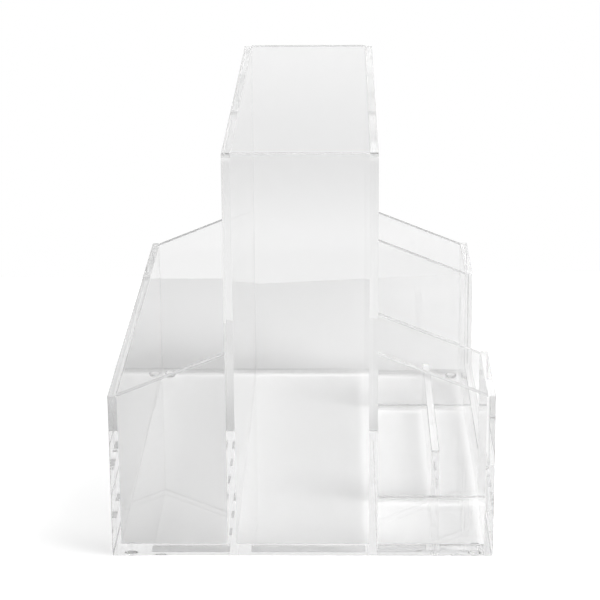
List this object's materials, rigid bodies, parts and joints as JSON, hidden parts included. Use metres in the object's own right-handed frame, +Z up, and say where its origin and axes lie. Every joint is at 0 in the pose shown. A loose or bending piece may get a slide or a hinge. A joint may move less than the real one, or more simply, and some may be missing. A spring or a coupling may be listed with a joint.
{
  "type": "brush and cosmetics caddy",
  "caption": "Open-topped clear acrylic caddy: a tall brush tower between a long side bin and a row of cells with a low divided bay.",
  "frame": {"origin": "middle of the footprint, on the surface that the feet stand on", "axes": "+Z up; +Y along the walls from the near end to the far end; +X across, from the long side bin to the cells"},
  "size_m": [0.178, 0.254, 0.1949],
  "materials": {
    "clear_acrylic": "polished",
    "bumper_foot": "clear soft polyurethane"
  },
  "bodies": {
    "root": {"base_plate": "clear_acrylic", "left_outer_wall": "clear_acrylic", "right_outer_wall": "clear_acrylic", "tower_left_side": "clear_acrylic", "tower_right_side": "clear_acrylic", "tower_near_end": "clear_acrylic", "tower_far_end": "clear_acrylic", "left_bin_near_end": "clear_acrylic", "left_bin_far_end": "clear_acrylic", "right_cell_near_end": "clear_acrylic", "right_cell_far_end": "clear_acrylic", "bay_near_cross_panel": "clear_acrylic", "bay_far_cross_panel": "clear_acrylic", "bay_divider": "clear_acrylic", "foot_near_left": "bumper_foot", "foot_near_right": "bumper_foot", "foot_far_left": "bumper_foot", "foot_far_right": "bumper_foot"}
  },
  "joints": []
}
